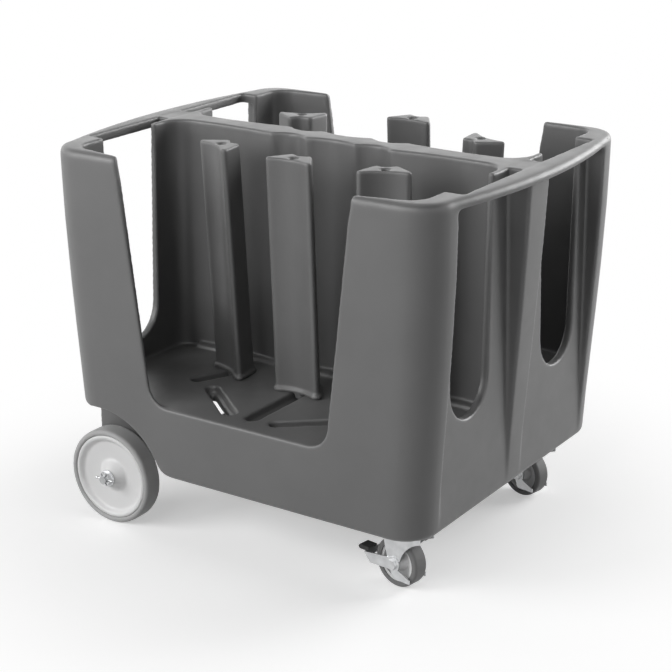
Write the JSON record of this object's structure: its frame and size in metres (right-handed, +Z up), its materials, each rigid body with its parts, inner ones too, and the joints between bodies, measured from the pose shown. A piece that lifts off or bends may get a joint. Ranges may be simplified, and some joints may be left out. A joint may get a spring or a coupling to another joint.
{
  "type": "plate dispenser cart",
  "caption": "Open moulded cart whose wells have sliding towers that keep stacks of plates apart, on fixed wheels and braked swivel casters.",
  "frame": {"origin": "middle of the wheels' contact plane on the floor, under the centre of the body", "axes": "+X along the cart towards the swivel casters, +Z up, -Y the front"},
  "size_m": [0.934, 0.732, 0.78],
  "materials": {
    "shell": "moulded, fine grain",
    "hub": "moulded",
    "wheel_tyre": "matte",
    "caster_tyre": "matte",
    "steel": "plain",
    "zinc": "zinc plated",
    "pedal": "matte"
  },
  "bodies": {
    "frame": {"cart_body": "shell", "rear_axle": "steel", "axle_bracket_front": "steel", "axle_bracket_back": "steel", "bracket_bolts": "zinc", "axle_spacers": "steel", "axle_washers": "zinc", "axle_nuts": "zinc", "cotter_pins": "zinc", "caster_plate_front": "zinc", "caster_plate_back": "zinc", "caster_screws": "zinc", "caster_kingpin_front": "steel", "caster_kingpin_back": "steel"},
    "tower_front_left": {"tower_front_left": "shell", "clamp_bolt_front_left": "steel", "clamp_plate_front_left": "steel"},
    "tower_front_middle": {"tower_front_middle": "shell", "clamp_bolt_front_middle": "steel", "clamp_plate_front_middle": "steel"},
    "tower_front_right": {"tower_front_right": "shell", "clamp_bolt_front_right": "steel", "clamp_plate_front_right": "steel"},
    "tower_back_left": {"tower_back_left": "shell", "clamp_bolt_back_left": "steel", "clamp_plate_back_left": "steel"},
    "tower_back_middle": {"tower_back_middle": "shell", "clamp_bolt_back_middle": "steel", "clamp_plate_back_middle": "steel"},
    "tower_back_right": {"tower_back_right": "shell", "clamp_bolt_back_right": "steel", "clamp_plate_back_right": "steel"},
    "rear_wheel_front": {"wheel_hub_front": "hub", "wheel_tyre_front": "wheel_tyre"},
    "caster_swivel_front": {"caster_fork_front": "zinc", "caster_axle_front": "zinc"},
    "caster_wheel_front": {"caster_core_front": "hub", "caster_tyre_front": "caster_tyre"},
    "brake_front": {"brake_lever_front": "zinc", "brake_tip_front": "pedal"},
    "rear_wheel_back": {"wheel_hub_back": "hub", "wheel_tyre_back": "wheel_tyre"},
    "caster_swivel_back": {"caster_fork_back": "zinc", "caster_axle_back": "zinc"},
    "caster_wheel_back": {"caster_core_back": "hub", "caster_tyre_back": "caster_tyre"},
    "brake_back": {"brake_lever_back": "zinc", "brake_tip_back": "pedal"}
  },
  "joints": [
    {"name": "tower_front_left_slide", "type": "slide", "parent": "frame", "child": "tower_front_left", "axis": [-0.4384, -0.8988, 0], "range_m": [0, 0.084]},
    {"name": "tower_front_middle_slide", "type": "slide", "parent": "frame", "child": "tower_front_middle", "axis": [0, -1, 0], "range_m": [-0.024, 0.164]},
    {"name": "tower_front_right_slide", "type": "slide", "parent": "frame", "child": "tower_front_right", "axis": [0.4384, -0.8988, 0], "range_m": [-0.008, 0.076]},
    {"name": "tower_back_left_slide", "type": "slide", "parent": "frame", "child": "tower_back_left", "axis": [-0.4384, 0.8988, 0], "range_m": [-0.054, 0.03]},
    {"name": "tower_back_middle_slide", "type": "slide", "parent": "frame", "child": "tower_back_middle", "axis": [0, -1, 0], "range_m": [0, 0.188]},
    {"name": "tower_back_right_slide", "type": "slide", "parent": "frame", "child": "tower_back_right", "axis": [0.4384, 0.8988, 0], "range_m": [-0.058, 0.026]},
    {"name": "rear_wheel_front_spin", "type": "hinge", "parent": "frame", "child": "rear_wheel_front", "pos_m": [-0.339, -0.316, 0.1], "axis": [0, 1, 0], "continuous": true},
    {"name": "caster_front_swivel", "type": "hinge", "parent": "frame", "child": "caster_swivel_front", "pos_m": [0.333, -0.249, 0.1], "axis": [0, 0, 1], "continuous": true},
    {"name": "caster_front_spin", "type": "hinge", "parent": "caster_swivel_front", "child": "caster_wheel_front", "pos_m": [0.30041, -0.24384, 0.05], "axis": [0.1564, 0.9877, 0], "continuous": true},
    {"name": "brake_front_press", "type": "hinge", "parent": "caster_swivel_front", "child": "brake_front", "pos_m": [0.30041, -0.24384, 0.05], "axis": [-0.1564, -0.9877, 0], "range_deg": [0, 12]},
    {"name": "rear_wheel_back_spin", "type": "hinge", "parent": "frame", "child": "rear_wheel_back", "pos_m": [-0.339, 0.316, 0.1], "axis": [0, 1, 0], "continuous": true},
    {"name": "caster_back_swivel", "type": "hinge", "parent": "frame", "child": "caster_swivel_back", "pos_m": [0.333, 0.249, 0.1], "axis": [0, 0, 1], "continuous": true},
    {"name": "caster_back_spin", "type": "hinge", "parent": "caster_swivel_back", "child": "caster_wheel_back", "pos_m": [0.30072, 0.25586, 0.05], "axis": [0.2079, 0.9781, 0], "continuous": true},
    {"name": "brake_back_press", "type": "hinge", "parent": "caster_swivel_back", "child": "brake_back", "pos_m": [0.30072, 0.25586, 0.05], "axis": [-0.2079, -0.9781, 0], "range_deg": [0, 12]}
  ]
}
